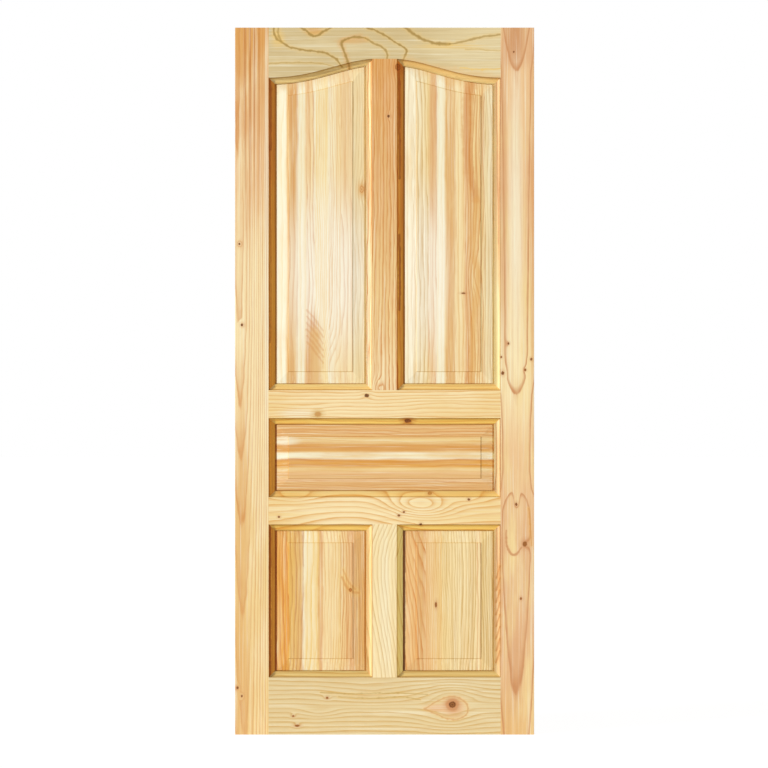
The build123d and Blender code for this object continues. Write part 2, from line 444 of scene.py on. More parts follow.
# long soft streaks, paler ones, and the fine fibre over them
def fibreMarks(tree, cell, colour, streakTone, streaks):
    streakLook, paleLook, fibreLook = grainNoises["streak"], grainNoises["pale"], grainNoises["fibre"]
    streak = rise(tree, grainNoise(tree, cell, streakLook), *streakLook["rise"])
    colour = mix(tree, calc(tree, "MULTIPLY", streak, streaks), colour, streakTone)
    pale = rise(tree, grainNoise(tree, cell, paleLook), *paleLook["rise"])
    colour = mix(tree, calc(tree, "MULTIPLY", pale, paleLook["amount"]), colour, paint(paleLook["tone"]))
    fibre = grainNoise(tree, cell, fibreLook)
    fine = calc(tree, "MULTIPLY", rise(tree, fibre, *fibreLook["rise"]), fibreLook["amount"])
    return mix(tree, fine, colour, paint(fibreLook["tone"]), "MULTIPLY"), fibre


# a board's look, where it doesn't say otherwise
plainBoard = {
    "drift": 0.0,  # how the pith line leans across the grain, per mm along it
    "bend": None,  # place along the grain, shift of the pith line in mm
    "squeeze": 1.0,  # narrows the figure
    "profile": "close",
    "uneven": 0.5,  # how much rings differ in strength
    "cloudTone": "cream",
    "streaks": 0.3,
    "shake": 5.0,  # how far the drawn lines stray, in mm
    "swirls": [],
    "knots": [],
    "patches": [],
    "strokes": [],
}
boardNoise = {"kept": 0.22, "sway": 0.012, "ripple": 0.06, "cloud": 0.02, "cloudRise": (0.42, 0.75)}


# one board: growth rings round a pith line that lies behind the face
def boardWood(name, look, seed):
    board = {**plainBoard, **look}
    knots = filled(board["knots"], plainKnot)
    material, tree = newMaterial(name)
    leaf = leafMillimetres(tree)
    grain = board["grain"]
    across, depth, along, cell = grainSpace(tree, leaf, grain, seed)
    slow = place(tree, cell, (0, 0, 0), (1.0, 1.0, boardNoise["kept"]))
    sway = centred(tree, noise(tree, slow, boardNoise["sway"]))
    ripple = centred(tree, noise(tree, slow, boardNoise["ripple"]))

    # how far the pith line lies to the side, and how many rings deep
    low, high = board["span"]
    share = calc(tree, "DIVIDE", calc(tree, "SUBTRACT", along, low), high - low)
    deepest = max(rings for _, rings in board["pithDepth"]) * 1.25
    steps = [((at - low) / (high - low), rings / deepest) for at, rings in board["pithDepth"]]
    rings = calc(tree, "MULTIPLY", curve(tree, share, steps), deepest)
    under = calc(tree, "SUBTRACT", calc(tree, "MULTIPLY", rings, board["spacing"]), depth)
    pith = calc(tree, "MULTIPLY_ADD", calc(tree, "SUBTRACT", along, low), board["drift"], board["pith"])
    if board["bend"]:
        steps = [((at - low) / (high - low), shift / 100.0) for at, shift in board["bend"]]
        pith = calc(tree, "MULTIPLY_ADD", curve(tree, share, steps), 100.0, pith)
    off = calc(tree, "MULTIPLY_ADD", sway, board["sway"], calc(tree, "SUBTRACT", across, pith))
    off = calc(tree, "MULTIPLY", off, board["squeeze"])
    phase = calc(tree, "DIVIDE", away(tree, combine(tree, off, under, 0.0)), board["spacing"])
    phase = calc(tree, "MULTIPLY_ADD", ripple, board["ripple"], phase)
    phase = swirled(tree, leaf, phase, board["swirls"], grain, "rings")
    for knot in knots:
        reach = knot["size"] * knot["bulge"]
        distance = around(tree, leaf, knot["at"], grain, (reach * 1.5, reach))
        phase = hump(tree, distance, knot["rings"], phase)
    late = ringShade(tree, phase, cell, board["uneven"], board["profile"])

    lateTone = paint(board["lateTone"])
    tones = [((at - low) / (high - low), paint(tone)) for at, tone in board["tones"]]
    colour = ramp(tree, share, tones, "EASE")
    cloud = rise(tree, noise(tree, slow, boardNoise["cloud"], 3.0), *boardNoise["cloudRise"])
    colour = mix(tree, cloud, colour, paint(board["cloudTone"]))
    colour = patchMarks(tree, leaf, colour, board["patches"], grain)
    colour, fibre = fibreMarks(tree, cell, colour, lateTone, board["streaks"])
    colour = mix(tree, calc(tree, "MULTIPLY", late, board["contrast"]), colour, lateTone)
    colour = strokeMarks(tree, leaf, colour, filled(board["strokes"], plainStroke), board["shake"])
    colour = knotMarks(tree, leaf, colour, knots, grain)
    # the mouldings' deeper tone, with painted shade on those facing away from the key light and less on those
    # facing it
    sides = twoShades(tree, across, board["middle"], *board["mouldToneAndShade"])
    colour = paintToneAndShade(tree, leaf, colour, [(*toneAndPaintedShade["boardSides"], sides), *toneAndPaintedShade["mouldings"]])
    woodShader(tree, colour, fibre, late)
    return material


# a panel's look, where it doesn't say otherwise
plainPanel = {
    "stray": 10.0,  # how far the staves' edges wander, in mm
    "cloudTone": "cream",
    "swirls": [],
    "knots": [],
    "patches": [],
    "strokes": [],
}
staveLook = {
    "toneBlur": 6.0,  # how wide one stave's tone runs into the next, in mm
    "slope": 0.45,  # how the lines run into the wood
    "sway": 34.0,  # slow and quick wander of the lines, in mm
    "ripple": 7.0,
    "shake": 5.0,
    "streaks": 0.55,
    "uneven": 0.5,
    "profile": "close",
    "cloudRise": (0.45, 0.75),
    "cloudAmount": 0.6,
    "warmRise": (0.5, 0.8),
    "warmAmount": 0.25,
    "warmTone": "honey",
}
staveNoise = {"kept": 0.2, "sway": 0.014, "ripple": 0.07, "stray": 0.011, "cloud": 0.03, "warm": 0.035}


# a panel glued up from staves, each with its own tone and grain
def staveWood(name, look, seed):
    panel = {**plainPanel, **look}
    knots = filled(panel["knots"], plainKnot)
    material, tree = newMaterial(name)
    leaf = leafMillimetres(tree)
    grain = panel["grain"]
    across, depth, along, cell = grainSpace(tree, leaf, grain, seed)
    low, high = panel["across"]
    edges = place(tree, cell, (5, 5, 5), (0.3, 1.0, 1.0))
    stray = centred(tree, noise(tree, edges, staveNoise["stray"], 3.0))
    spot = calc(tree, "MULTIPLY_ADD", stray, panel["stray"], calc(tree, "SUBTRACT", across, low))
    spot = calc(tree, "DIVIDE", spot, high - low)

    # each stave's tone, lines and place in the noise, as shares of the panel's width
    staves = panel["staves"]
    ends = [stave[0] for stave in staves[1:]] + [high]
    tones, lineTones, figures, offsets = [], [], [], []
    for number, (start, tone, farTone, lineTone, spacing, lean, strength) in enumerate(staves):
        at = max(0.0, (start - low) / (high - low))
        farEnd = (ends[number] - staveLook["toneBlur"] - low) / (high - low)
        tones += [(at, paint(tone)), (farEnd, paint(farTone))]
        lineTones.append((at, paint(lineTone)))
        figures.append((at, (1.0 / spacing, lean / 100.0 + 0.5, strength)))
        offsets.append((at, grey(((seed * 7 + number * 5) % 11) / 11)))
    density, lean, strength = split(tree, ramp(tree, spot, figures, "CONSTANT"))
    apart = calc(tree, "MULTIPLY_ADD", ramp(tree, spot, offsets, "CONSTANT"), 4000.0, along)
    slow = combine(tree, across, depth, calc(tree, "MULTIPLY", apart, staveNoise["kept"]))
    apartCell = combine(tree, across, depth, apart)

    # a value that grows by one spacing from line to line
    sway = centred(tree, noise(tree, slow, staveNoise["sway"]))
    ripple = centred(tree, noise(tree, slow, staveNoise["ripple"]))
    line = calc(tree, "MULTIPLY_ADD", centred(tree, lean), along, across)
    line = calc(tree, "MULTIPLY_ADD", depth, staveLook["slope"], line)
    line = calc(tree, "MULTIPLY_ADD", sway, staveLook["sway"], line)
    line = calc(tree, "MULTIPLY_ADD", ripple, staveLook["ripple"], line)
    line = swirled(tree, leaf, line, panel["swirls"], grain, "shift")
    for knot in knots:
        size = knot["size"]
        line = hump(tree, around(tree, leaf, knot["at"], grain, (size * 5, size * 3)), size * 1.2, line)
    phase = calc(tree, "MULTIPLY", line, density)
    late = ringShade(tree, phase, apartCell, staveLook["uneven"], staveLook["profile"])

    colour = ramp(tree, spot, tones)
    cloud = rise(tree, noise(tree, slow, staveNoise["cloud"], 3.0), *staveLook["cloudRise"])
    cloud = calc(tree, "MULTIPLY", cloud, staveLook["cloudAmount"])
    colour = mix(tree, cloud, colour, paint(panel["cloudTone"]))
    elsewhere = place(tree, slow, (7, 7, 7), (1.0, 1.0, 1.0))
    warm = rise(tree, noise(tree, elsewhere, staveNoise["warm"], 3.0), *staveLook["warmRise"])
    warm = calc(tree, "MULTIPLY", warm, staveLook["warmAmount"])
    colour = mix(tree, warm, colour, paint(staveLook["warmTone"]))
    colour = patchMarks(tree, leaf, colour, panel["patches"], grain)
    lineColour = ramp(tree, spot, lineTones, "CONSTANT")
    streaks = calc(tree, "MULTIPLY", strength, staveLook["streaks"])
    colour, fibre = fibreMarks(tree, apartCell, colour, lineColour, streaks)
    colour = mix(tree, calc(tree, "MULTIPLY", late, strength), colour, lineColour)
    colour = strokeMarks(tree, leaf, colour, filled(panel["strokes"], plainStroke), staveLook["shake"])
    colour = knotMarks(tree, leaf, colour, knots, grain)
    # painted shadow in the channel at the panel's left side, painted light on the rest of its rim, painted
    # shade on the step round the field
    x = split(tree, leaf)[0]
    rim = twoShades(tree, x, panel["darkTo"], toneAndPaintedShade["leftRim"], toneAndPaintedShade["litRim"])
    colour = paintToneAndShade(tree, leaf, colour, [(*toneAndPaintedShade["panelRim"], rim), toneAndPaintedShade["panelStep"]])
    woodShader(tree, colour, fibre, late)
    return material


# the boards: places are (x, z) in mm, sizes are along and across the grain
# span is a board's two ends along the grain, spacing is from ring to ring
# pith is where the pith line lies across the grain, pithDepth how many rings behind the face along it
# sway is the rings' slow wander in mm and ripple their quick one in rings
# tones is its tone from place to place along the grain, and mouldToneAndShade its mouldings' deeper tone with
# painted shade, one before and one after the middle

# left stile: tongues of flat grain down its outer edge, straight grain beside the moulding
leftStile = {
    "grain": "up",
    "span": (0, 1981),
    "pith": 26,
    "drift": -0.012,
    "spacing": 5.5,
    "squeeze": 1.15,
    "sway": 6,
    "ripple": 0.5,
    "pithDepth": [
        (0, 13.0), (335, 12.0), (583, 11.0), (776, 10.0), (926, 9.0), (1150, 7.9), (1500, 7.2), (1981, 6.6),
    ],
    "tones": [
        (0, "straw"), (500, "straw"), (900, "cream"), (1300, "cream"), (1600, "peach"), (1981, "honey"),
    ],
    "lateTone": "orange",
    "contrast": 0.7,
    "middle": 47,
    # painted shade: this moulding faces away from the key light
    "mouldToneAndShade": ((0.86, 0.5, 0.09), (0.86, 0.5, 0.09)),
    "knots": [
        {"at": (12, 1375), "size": 2.5},
        {"at": (19, 1148), "size": 3.0, "core": "bark"},
        {"at": (7, 131), "size": 3.0},
        {"at": (19, 108), "size": 2.5},
    ],
    # the rust strokes down the moulding are painted shadow cast by the face's edge
    "strokes": [
        {"line": [(99, 1845), (99, 1640)], "tone": "rust", "width": 3.4, "amount": 0.6, "halo": 0.0},
        {"line": [(98, 1640), (98, 1100)], "tone": "rust", "width": 2.6, "amount": 0.42, "halo": 0.0},
        {"line": [(98, 590), (98, 160)], "tone": "rust", "width": 3.0, "amount": 0.7, "halo": 0.0},
    ],
    "patches": [
        {"at": (16, 640), "size": (420, 26), "tone": "honey", "amount": 0.6},
        {"at": (16, 150), "size": (260, 28), "tone": "honey", "amount": 0.6},
        {"at": (28, 1830), "size": (420, 2.2), "tone": "amber", "amount": 0.9},
        {"at": (42, 1830), "size": (420, 2.2), "tone": "amber", "amount": 0.95},
        {"at": (54, 1840), "size": (380, 2.0), "tone": "amber", "amount": 0.9},
        {"at": (67, 1850), "size": (360, 2.0), "tone": "amber", "amount": 0.8},
        {"at": (88, 1400), "size": (700, 7), "tone": "milk", "amount": 0.6},
    ],
}

# right stile: wide flat-sawn figure, pinkish, with small knots
rightStile = {
    "grain": "up",
    "span": (0, 1981),
    "pith": 788,
    "spacing": 12,
    "squeeze": 1.1,
    "sway": 5,
    "ripple": 0.16,
    "profile": "soft",
    "pithDepth": [
        (0, 8.35), (105, 8.0), (350, 7.4), (503, 7.06), (575, 7.06), (630, 7.15), (660, 7.5), (686, 8.0),
        (740, 8.25), (850, 8.2), (952, 8.0), (1000, 7.6), (1060, 7.45), (1600, 7.2), (1859, 7.0),
        (1981, 6.1),
    ],
    "tones": [
        (0, "tan"), (200, "pink"), (520, "pink"), (760, "peach"), (1000, "cream"), (1500, "peach"),
        (1850, "peach"), (1900, "pink"), (1981, "pink"),
    ],
    "cloudTone": "straw",
    "lateTone": "rose",
    "contrast": 1.0,
    "uneven": 0.1,
    "middle": 791,
    # its moulding faces the key light, so less painted shade
    "mouldToneAndShade": ((0.8, 0.82, 0.74), (0.8, 0.82, 0.74)),
    "knots": [
        {"at": (781, 1913), "size": 2.2, "rings": 0.1},
        {"at": (766, 1096), "size": 2.5, "core": "bark", "rings": 0.2},
        {"at": (746, 1058), "size": 2.2, "rings": 0.2},
        {"at": (750, 1013), "size": 4.0, "rings": 0.3},
        {"at": (813, 1022), "size": 3.0, "core": "brown", "rings": 0.2},
        {"at": (830, 1052), "size": 3.0, "rings": 0.2},
        {"at": (788, 645), "size": 3.4, "rings": 0.1},
        {"at": (812, 534), "size": 6.0, "bulge": 2.2, "rings": 0.6, "core": "brown", "halo": 0.8},
        {"at": (801, 381), "size": 3.0, "core": "brown", "rings": 0.1},
    ],
    "strokes": [
        {
            "line": [(760, 572), (759, 545), (763, 522), (771, 508), (780, 502), (791, 508), (802, 524)],
            "tone": "rose", "width": 2.4, "haloTone": "pink",
        },
        {
            "line": [(823, 633), (826, 600), (828, 560), (831, 530)],
            "tone": "orange", "width": 2.0, "amount": 0.5,
        },
        *(
            {
                "line": [(732, low), (742, low + 34)],
                "tone": "amber", "width": 2.4, "amount": 0.6, "halo": 0.4, "haloTone": "honey",
            }
            for low in range(200, 440, 34)
        ),
    ],
    "swirls": [{"at": (789, 655), "size": (32, 9), "rings": 0.9}],
    "patches": [
        {"at": (786, 1480), "size": (420, 22), "tone": "milk", "amount": 0.6},
        {"at": (738, 1180), "size": (150, 9), "tone": "cream", "amount": 0.4},
        {"at": (752, 1500), "size": (520, 12), "tone": "rose", "amount": 0.45},
        {"at": (834, 1450), "size": (600, 8), "tone": "orange", "amount": 0.5},
        {"at": (785, 1960), "size": (90, 30), "tone": "rose", "amount": 0.8},
        {"at": (785, 200), "size": (140, 24), "tone": "rose", "amount": 0.15},
    ],
}

# top rail: pale, slightly green, with bold brown swirls
topRail = {
    "grain": "sideways",
    "span": (94, 744),
    "pith": 2060,
    "spacing": 11,
    "sway": 30,
    "ripple": 0.6,
    "pithDepth": [(94, 4.0), (744, 4.0)],
    "tones": [(94, "moss"), (420, "moss"), (744, "greenish")],
    "cloudTone": "greenish",
    "lateTone": "olive",
    "contrast": 0.16,
    "streaks": 0.2,
    "middle": 1900,
    # the arch moulding's deeper tone and painted shade
    "mouldToneAndShade": ((0.96, 0.84, 0.57), (0.96, 0.84, 0.57)),
    "shake": 9.0,
    "strokes": [
        {
            "line": [
                (107, 1990), (111, 1952), (136, 1936), (167, 1920), (225, 1914), (251, 1912), (280, 1896),
                (300, 1872),
            ],
            "width": 2.6,
        },
        {"line": [(124, 1990), (120, 1960), (128, 1943)], "amount": 0.6, "width": 2.4},
        {
            "line": [
                (180, 1984), (199, 1972), (210, 1960), (222, 1956), (235, 1961), (248, 1970), (274, 1984),
            ],
            "width": 2.6,
        },
        {
            "line": [
                (322, 1862), (314, 1894), (299, 1930), (298, 1940), (310, 1949), (342, 1956), (366, 1951),
            ],
            "width": 3.0, "halo": 0.5, "haloTone": "honey",
        },
        {
            "line": [(366, 1951), (390, 1937), (420, 1922), (426, 1910), (425, 1885)],
            "width": 2.3, "amount": 0.75,
        },
        {
            "line": [
                (360, 1984), (391, 1975), (424, 1957), (456, 1936), (479, 1922), (480, 1910), (470, 1886),
            ],
            "width": 2.5,
        },
        {"line": [(470, 1984), (494, 1969), (523, 1948), (562, 1936), (601, 1935)], "width": 3.4},
        {"line": [(601, 1935), (646, 1943), (700, 1957), (750, 1961)], "width": 2.6, "amount": 0.7},
        {"line": [(645, 1922), (750, 1915)], "amount": 0.35, "width": 1.4},
        {"line": [(632, 1870), (675, 1863), (750, 1866)], "tone": "yellow", "amount": 0.7, "halo": 0.1},
        {"line": [(90, 1880), (163, 1884), (228, 1882), (276, 1873)], "amount": 0.45, "width": 1.5},
        # painted shade on the right half of the arch moulding
        {
            "line": [(480, 1888), (600, 1858), (745, 1836)],
            "tone": "tan", "amount": 0.5, "width": 12.0, "halo": 0.0,
        },
    ],
    "patches": [
        {"at": (223, 1970), "size": (30, 13), "tone": "honey", "amount": 0.8},
        {"at": (330, 1944), "size": (50, 10), "tone": "honey", "amount": 0.5},
        {"at": (600, 1928), "size": (110, 8), "tone": "yellow", "amount": 0.5},
        {"at": (120, 1950), "size": (22, 30), "tone": "yellow", "amount": 0.5},
    ],
}

# lock rail: fine rings that part round its knots
lockRail = {
    "grain": "sideways",
    "span": (94, 744),
    "pith": 1010,
    "spacing": 9,
    "sway": 26,
    "ripple": 0.5,
    "pithDepth": [(94, 4.2), (300, 4.0), (744, 4.6)],
    "tones": [(94, "straw"), (300, "cream"), (744, "straw")],
    "lateTone": "honey",
    "contrast": 0.95,
    "middle": 926,
    # deeper painted shade on the moulding facing down than on the one facing up
    "mouldToneAndShade": ((0.85, 0.7, 0.3), (0.82, 0.72, 0.46)),
    "knots": [
        {"at": (369, 950), "size": 5.0, "core": "bark", "haloTone": "tan"},
        {
            "at": (232, 898), "size": 6.5, "core": "rose", "tone": "sand", "halo": 0.8, "haloTone": "sand",
            "rings": -0.4,
        },
        {"at": (484, 879), "size": 5.0, "stretch": 1.8, "halo": 0.9, "haloTone": "amber"},
    ],
    "swirls": [
        {"at": (190, 916), "size": (64, 15), "rings": -0.9},
        {"at": (190, 884), "size": (64, 13), "rings": 0.9},
        {"at": (560, 930), "size": (120, 20), "rings": 0.6},
    ],
    "patches": [{"at": (175, 900), "size": (60, 14), "tone": "milk", "amount": 0.7}],
}

# middle rail: an eye of flat grain right of its middle, and small knots
middleRail = {
    "grain": "sideways",
    "span": (94, 744),
    "pith": 500,
    "spacing": 24,
    "sway": 12,
    "ripple": 0.3,
    "pithDepth": [(94, 0.5), (744, 0.5)],
    "tones": [(94, "straw"), (300, "cream"), (744, "straw")],
    "lateTone": "honey",
    "contrast": 1.0,
    "middle": 627,
    # deeper painted shade on the moulding facing down than on the one facing up
    "mouldToneAndShade": ((0.85, 0.7, 0.3), (0.82, 0.72, 0.46)),
    "knots": [
        {"at": (123, 610), "size": 2.5, "rings": 0.3},
        {"at": (459, 614), "size": 3.0, "rings": 0.3},
        {"at": (473, 624), "size": 2.5, "rings": 0.3},
        {"at": (546, 676), "size": 4.5, "tone": "honey", "core": "brown", "rings": 0.3},
        {"at": (655, 659), "size": 3.0, "core": "bark", "rings": 0.2},
        {"at": (520, 589), "size": 3.0, "core": "bark", "rings": 0.3},
    ],
    "swirls": [
        {"at": (520, 643), "size": (86, 34), "rings": 4.6, "turn": 0.06},
        {"at": (319, 590), "size": (150, 60), "rings": -1.8},
        {"at": (655, 665), "size": (60, 20), "rings": 1.4},
        {"at": (170, 668), "size": (60, 16), "rings": 1.4},
    ],
}

# bottom rail: slightly green like the top one, with the largest knot in a pinkish eye
bottomRail = {
    "grain": "sideways",
    "span": (94, 744),
    "pith": -60,
    "spacing": 12,
    "sway": 22,
    "ripple": 0.4,
    "pithDepth": [(94, 4.0), (744, 4.0)],
    "tones": [(94, "greenish"), (400, "greenish"), (744, "greenish")],
    "cloudTone": "greenish",
    "lateTone": "sand",
    "contrast": 0.85,
    "middle": 80,
    # the moulding's deeper tone and painted shade
    "mouldToneAndShade": ((0.82, 0.72, 0.46), (0.82, 0.72, 0.46)),
    "knots": [
        {"at": (609, 84), "size": 9, "stretch": 1.1, "rings": 0.5, "bulge": 1.8, "halo": 0.95},
        {"at": (258, 103), "size": 3.0, "core": "brown"},
        {"at": (163, 52), "size": 2.5, "core": "brown"},
        {"at": (174, 25), "size": 3.0, "core": "brown", "stretch": 2.2},
    ],
    "swirls": [
        {"at": (610, 114), "size": (70, 30), "rings": -2.3},
        {"at": (600, 42), "size": (80, 30), "rings": 2.0},
        {"at": (380, 112), "size": (120, 36), "rings": 1.3},
        {"at": (237, 64), "size": (50, 16), "rings": 1.2},
    ],
    "patches": [
        {"at": (612, 76), "size": (40, 34), "tone": "pink", "amount": 0.9},
        {"at": (609, 84), "size": (21, 19), "tone": "rose", "amount": 1.0},
        {"at": (565, 74), "size": (40, 14), "tone": "pink", "amount": 0.9},
    ],
    "strokes": [
        {
            "line": [
                (623, 84), (619, 94), (609, 98), (599, 94), (595, 84), (599, 74), (609, 70), (619, 74),
                (623, 84),
            ],
            "tone": "rose", "width": 4.5, "amount": 0.75, "halo": 0.0,
        },
        {
            "line": [
                (531, 72), (562, 92), (592, 106), (622, 107), (648, 90), (655, 68), (644, 50), (618, 41),
                (588, 46), (558, 60), (531, 72),
            ],
            "tone": "rose", "width": 1.6, "amount": 0.55,
        },
        {"line": [(240, 118), (330, 113), (430, 118), (540, 112)], "width": 1.5, "amount": 0.5},
        {"line": [(290, 106), (380, 101), (470, 107), (520, 98)], "width": 1.5, "amount": 0.45},
    ],
}

# upper muntin: warm, and deepest at its head
upperMuntin = {
    "grain": "up",
    "span": (960, 1900),
    "pith": 300,
    "spacing": 9,
    "sway": 22,
    "ripple": 1.1,
    "pithDepth": [(960, 6.0), (1900, 5.0)],
    "tones": [(960, "cream"), (1200, "straw"), (1500, "tan"), (1900, "honey")],
    "cloudTone": "peach",
    "lateTone": "orange",
    "contrast": 1.0,
    "streaks": 0.6,
    "middle": 419,
    # pale on its lit left moulding, painted shade on its right one
    "mouldToneAndShade": ((0.94, 0.91, 0.8), (1.0, 0.68, 0.18)),
    "knots": [
        {"at": (430, 1733), "size": 3.2, "core": "bark"},
        {"at": (456, 1871), "size": 8.0, "core": "brown", "tone": "amber", "haloTone": "orange"},
    ],
    # the rust strokes down its right moulding are painted shadow cast by the face's edge
    "strokes": [
        {
            "line": [(460, 1860), (460, 1700), (461, 1560)],
            "tone": "rust", "width": 3.4, "amount": 0.6, "halo": 0.0,
        },
        {
            "line": [(460, 1400), (462, 1250), (460, 1190)],
            "tone": "rust", "width": 3.6, "amount": 0.6, "halo": 0.0,
        },
    ],
    "patches": [
        {"at": (372, 1240), "size": (420, 11), "tone": "milk", "amount": 0.85},
        {"at": (372, 1760), "size": (260, 11), "tone": "cream", "amount": 1.0},
    ],
    "swirls": [{"at": (400, 972), "size": (26, 16), "rings": 2.0}],
}

# lower muntin: pale, its lines bending one way and back
lowerMuntin = {
    "grain": "up",
    "span": (160, 589),
    "pith": 330,
    "bend": [(160, 40), (228, 32), (352, 11), (440, 1), (493, 0), (540, 9), (589, 28)],
    "spacing": 9,
    "sway": 16,
    "ripple": 0.4,
    "pithDepth": [(160, 4.0), (589, 4.6)],
    "tones": [(160, "cream"), (589, "cream")],
    "lateTone": "sand",
    "contrast": 0.72,
    "uneven": 0.8,
    "middle": 419,
    # a deeper tone on its left moulding, and painted light lifting the shade on its right one
    "mouldToneAndShade": ((0.86, 0.72, 0.55), (1.05, 1.0, 0.6)),
    "patches": [{"at": (419, 370), "size": (260, 16), "tone": "milk", "amount": 0.4}],
}

# the panels: across is from where to where their staves lie, and the rim's painted shadow on its left side
# ends at darkTo
# a stave: where it starts, its tone there and at its far side, its lines' tone and spacing in mm,
# their lean in % and their strength

# upper left panel: mostly pale, with a fan of warm lines near its foot
upperLeftPanel = {
    "grain": "up",
    "darkTo": 118,
    "across": (100, 390),
    "staves": [
        (100, "milk", "milk", "yellow", 14, 0, 0.35),
        (146, "tan", "tan", "orange", 14, 0, 0.5),
        (175, "milk", "milk", "yellow", 12, 0, 0.4),
        (199, "peach", "cream", "orange", 9, 0.6, 0.65),
        (222, "milk", "cream", "yellow", 6.5, 0.6, 0.75),
        (262, "milk", "cream", "honey", 7.5, 0.6, 0.7),
        (297, "cream", "cream", "orange", 12, 0.6, 0.45),
        (331, "cream", "cream", "sand", 9, 0.6, 0.6),
    ],
    "knots": [
        {
            "at": (355, 1529), "size": 6.0, "stretch": 1.9, "core": "orange", "tone": "tan", "halo": 0.9,
            "haloTone": "honey",
        },
    ],
    "patches": [
        {"at": (187, 1290), "size": (180, 12), "tone": "white", "amount": 0.9},
        {"at": (260, 1290), "size": (260, 140), "tone": "white", "amount": 1.0},
        {"at": (219, 1010), "size": (110, 22), "tone": "orange", "amount": 0.6},
        {"at": (220, 1110), "size": (75, 20), "tone": "orange", "amount": 0.5},
        {"at": (310, 1690), "size": (260, 20), "tone": "orange", "amount": 0.25},
        {"at": (164, 1700), "size": (260, 16), "tone": "orange", "amount": 0.3},
    ],
    "strokes": [
        # painted shade on the sloped margin under the arch
        {
            "line": [(120, 1822), (200, 1834), (290, 1864), (378, 1884)],
            "tone": "tan", "width": 18.0, "amount": 0.4, "halo": 0.0,
        },
        {"line": [(224, 1120), (224, 975)], "tone": "tan", "width": 18.0, "amount": 0.8, "halo": 0.0},
        *(
            {
                "line": [(201, top), (222, top - 24), (246, top - 58)],
                "tone": "orange", "width": 2.8, "amount": 0.3, "halo": 0.0,
            }
            for top in range(1100, 1200, 18)
        ),
    ],
    "swirls": [{"at": (260, 1020), "size": (100, 40), "shift": 30}],
}

# upper right panel: warm and pale staves by turns, with a wavy dark band
upperRightPanel = {
    "grain": "up",
    "darkTo": 478,
    "across": (450, 750),
    "staves": [
        (450, "cream", "milk", "sand", 12, 0, 0.6),
        (499, "milk", "cream", "sand", 11, 0.6, 0.85),
        (541, "straw", "peach", "orange", 12, 0.6, 0.6),
        (566, "milk", "milk", "yellow", 14, 0, 0.35),
        (591, "tan", "tan", "orange", 9, 0.3, 0.5),
        (620, "cream", "cream", "honey", 12, 0.3, 0.7),
        (645, "peach", "tan", "orange", 9, 0.6, 0.9),
        (668, "straw", "straw", "orange", 8, 0.4, 0.8),
        (700, "cream", "milk", "sand", 9, 0.4, 0.7),
    ],
    "knots": [{"at": (640, 1237), "size": 2.0, "stretch": 3.0, "turn": 1.57}],
    "patches": [
        {"at": (578, 1290), "size": (240, 12), "tone": "white", "amount": 0.9},
        {"at": (535, 1290), "size": (260, 70), "tone": "white", "amount": 0.9},
        {"at": (556, 1690), "size": (260, 14), "tone": "orange", "amount": 0.3},
    ],
    "strokes": [
        # painted shade on the sloped margin under the arch
        {
            "line": [(460, 1884), (548, 1864), (638, 1834), (718, 1822)],
            "tone": "tan", "width": 18.0, "amount": 0.4, "halo": 0.0,
        },
        {
            "line": [(666, 1830), (645, 1765), (653, 1600), (676, 1500)],
            "tone": "orange", "width": 11.0, "amount": 0.45, "halo": 0.0,
        },
        {
            "line": [(676, 1500), (664, 1357), (686, 1279), (668, 1180), (664, 985)],
            "tone": "honey", "width": 9.0, "amount": 0.55, "halo": 0.0,
        },
    ],
    "swirls": [{"at": (668, 1290), "size": (60, 22), "shift": 12}],
}

# middle panel: its staves lie along it, the warmest of all
middlePanel = {
    "grain": "sideways",
    "darkTo": 118,
    "across": (672, 880),
    "staves": [
        (672, "tan", "tan", "orange", 7, 1.2, 0.95),
        (711, "peach", "tan", "orange", 12, 0, 0.4),
        (731, "peach", "straw", "honey", 14, 0, 0.5),
        (751, "gold", "gold", "orange", 14, 0, 0.7),
        (774, "milk", "milk", "yellow", 14, 0, 0.5),
        (794, "honey", "honey", "orange", 14, 0, 0.5),
        (818, "straw", "straw", "honey", 14, 0, 0.6),
        (834, "tan", "tan", "orange", 9, 0, 0.8),
    ],
    "cloudTone": "tan",
    "stray": 6.0,
    "patches": [{"at": (140, 823), "size": (44, 13), "tone": "milk", "amount": 0.95}],
}

# lower left panel: gold at both sides, pale between them
lowerLeftPanel = {
    "grain": "up",
    "darkTo": 118,
    "across": (100, 390),
    "staves": [
        (100, "gold", "gold", "orange", 9, 0, 1.0),
        (152, "yellow", "tan", "amber", 10, -3, 0.7),
        (192, "milk", "cream", "yellow", 13, -3, 0.8),
        (234, "tan", "peach", "orange", 12, 0, 0.7),
        (248, "cream", "cream", "honey", 9, 0, 0.8),
        (293, "straw", "peach", "orange", 8, 0, 0.95),
        (337, "tan", "gold", "amber", 8, 0, 0.65),
    ],
    "knots": [
        {"at": (323, 405), "size": 4.5, "core": "brown", "tone": "orange", "halo": 0.8, "haloTone": "honey"},
    ],
    "strokes": [
        {
            "line": [(300, 440), (311, 414), (326, 400), (346, 396)],
            "tone": "orange", "width": 3.0, "amount": 0.5,
        },
        {"line": [(304, 462), (316, 428), (336, 407)], "tone": "orange", "width": 2.6, "amount": 0.4},
    ],
    "cloudTone": "straw",
    "stray": 16.0,
}

